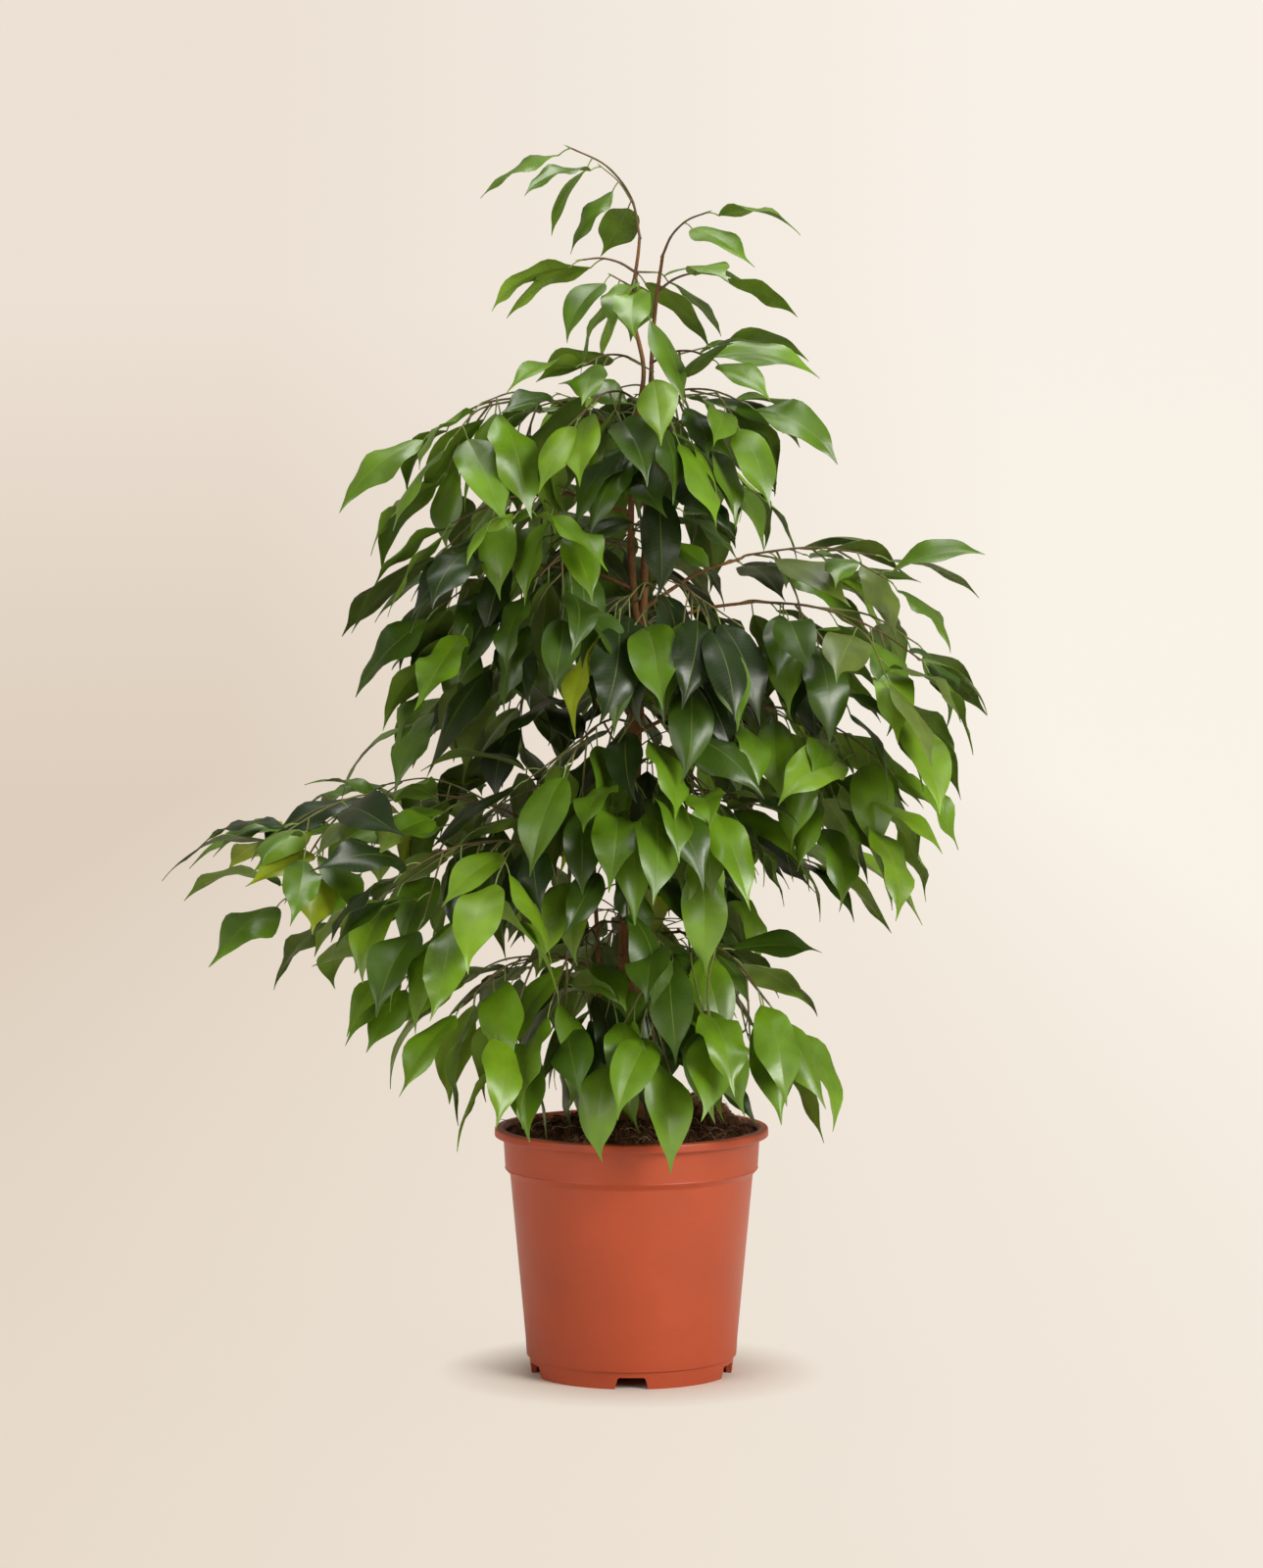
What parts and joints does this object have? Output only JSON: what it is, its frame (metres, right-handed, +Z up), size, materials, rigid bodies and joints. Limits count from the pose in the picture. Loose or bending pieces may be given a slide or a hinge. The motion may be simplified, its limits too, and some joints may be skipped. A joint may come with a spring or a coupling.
{
  "type": "potted weeping fig",
  "caption": "Indoor weeping fig in a round plastic nursery pot, filled with dark peat, with a loose open cone of hanging, pointed, glossy leaves.",
  "frame": {"origin": "centre of the pot's flat underside, on the surface that it stands on", "axes": "+Z up; -Y is the front, the side that the picture shows; +X is the right as seen from the front"},
  "size_m": [0.6045, 0.392, 0.9341],
  "materials": {
    "bark": "orange-brown bark with fine cracks, redder on the young stems",
    "leaf": "glossy dark to mid green leaves with paler veins, some lime green",
    "pot_plastic": "terracotta-coloured moulded plastic with a soft sheen",
    "peat": "dark brown fibrous peat"
  },
  "bodies": {
    "root": {"bough_low_back_left": "bark", "bough_low_back_right": "bark", "bough_low_left": "bark", "bough_low_left_far": "bark", "bough_low_right": "bark", "bough_middle_back_left": "bark", "bough_middle_back_right": "bark", "bough_middle_left": "bark", "bough_middle_right": "bark", "bough_middle_right_high": "bark", "bough_shoulder_back": "bark", "bough_shoulder_back_left": "bark", "bough_shoulder_left": "bark", "bough_shoulder_left_low": "bark", "bough_skirt_back": "bark", "bough_skirt_left": "bark", "bough_skirt_right": "bark", "foliage_collar_left": "leaf", "foliage_collar_right": "leaf", "foliage_inner_front": "leaf", "foliage_low_back_left": "leaf", "foliage_low_back_right": "leaf", "foliage_low_front_left": "leaf", "foliage_low_front_right": "leaf", "foliage_low_left": "leaf", "foliage_low_left_far": "leaf", "foliage_low_right": "leaf", "foliage_middle_back_left": "leaf", "foliage_middle_back_right": "leaf", "foliage_middle_front_left": "leaf", "foliage_middle_front_right": "leaf", "foliage_middle_left": "leaf", "foliage_middle_right": "leaf", "foliage_middle_right_high": "leaf", "foliage_neck_back": "leaf", "foliage_neck_front": "leaf", "foliage_neck_left": "leaf", "foliage_neck_right": "leaf", "foliage_shoulder_back": "leaf", "foliage_shoulder_back_left": "leaf", "foliage_shoulder_front_left": "leaf", "foliage_shoulder_front_right": "leaf", "foliage_shoulder_left": "leaf", "foliage_shoulder_left_low": "leaf", "foliage_shoulder_right": "leaf", "foliage_skirt_back": "leaf", "foliage_skirt_front_left": "leaf", "foliage_skirt_front_right": "leaf", "foliage_skirt_left": "leaf", "foliage_skirt_right": "leaf", "foliage_tip_left": "leaf", "foliage_tip_right": "leaf", "foliage_waist_back": "leaf", "foliage_waist_front": "leaf", "leader_left": "bark", "leader_right": "bark", "peat": "peat", "pot": "pot_plastic", "side_stem": "bark", "trunk": "bark"}
  },
  "joints": []
}
